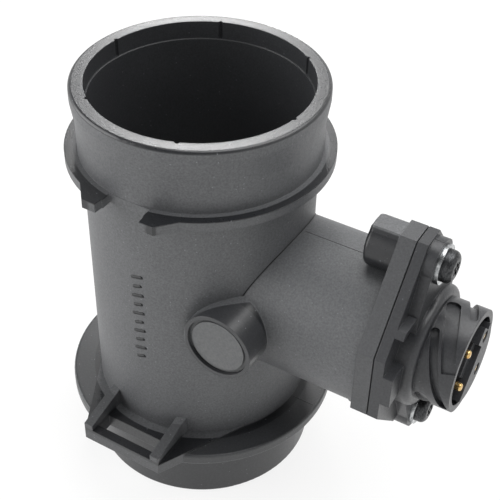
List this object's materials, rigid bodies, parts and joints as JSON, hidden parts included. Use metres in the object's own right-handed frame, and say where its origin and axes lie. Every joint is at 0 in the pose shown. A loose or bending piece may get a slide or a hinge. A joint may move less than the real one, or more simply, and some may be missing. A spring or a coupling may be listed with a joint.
{
  "type": "mass airflow sensor",
  "caption": "Hot-film mass airflow sensor: grey plastic tube with hose bead, clip lugs, loop bracket and a side branch with a flanged bayonet connector.",
  "frame": {"origin": "centre of the inlet spigot's rim, on the tube's axis, at the lowest plane", "axes": "+Z along the tube's axis from inlet to outlet, +X along the sensor branch towards the connector, -Y towards the clip lugs and the loop bracket"},
  "size_m": [0.1652, 0.1121, 0.1664],
  "materials": {
    "housing_plastic": "matte, fine moulded grain",
    "plug_plastic": "matte",
    "plate_plastic": "matte, fine moulded grain",
    "insert_plastic": "matte",
    "probe_plastic": "matte",
    "gasket_rubber": "matte",
    "contact_metal": "gold plated, satin",
    "washer_steel": "bright zinc plated",
    "screw_steel": "dark phosphated, dry",
    "insert_brass": "machined",
    "element_ceramic": "thin film on ceramic",
    "flex_film": "polyimide film",
    "heat_sink_aluminium": "rolled sheet",
    "board_laminate": "glass fibre laminate with solder mask",
    "chip_plastic": "moulded package"
  },
  "bodies": {
    "root": {"tube_housing": "housing_plastic", "boss_plug": "plug_plastic", "flange_gasket": "gasket_rubber", "connector_plate": "plate_plastic", "contact_insert": "insert_plastic", "contact_pin_1": "contact_metal", "contact_pin_2": "contact_metal", "contact_pin_3": "contact_metal", "contact_pin_4": "contact_metal", "washer_top": "washer_steel", "washer_bottom": "washer_steel", "screw_top": "screw_steel", "screw_bottom": "screw_steel", "threaded_insert_top": "insert_brass", "threaded_insert_bottom": "insert_brass", "sensor_carrier": "probe_plastic", "probe_seal": "gasket_rubber", "measuring_duct": "probe_plastic", "film_heater_element": "element_ceramic", "film_temperature_element": "element_ceramic", "element_flex": "flex_film", "heat_sink_plate": "heat_sink_aluminium", "spacer_sheet": "gasket_rubber", "circuit_board": "board_laminate", "driver_stage": "chip_plastic", "circuit_cover": "probe_plastic", "contact_board": "board_laminate", "contact_flex": "flex_film"}
  },
  "joints": []
}
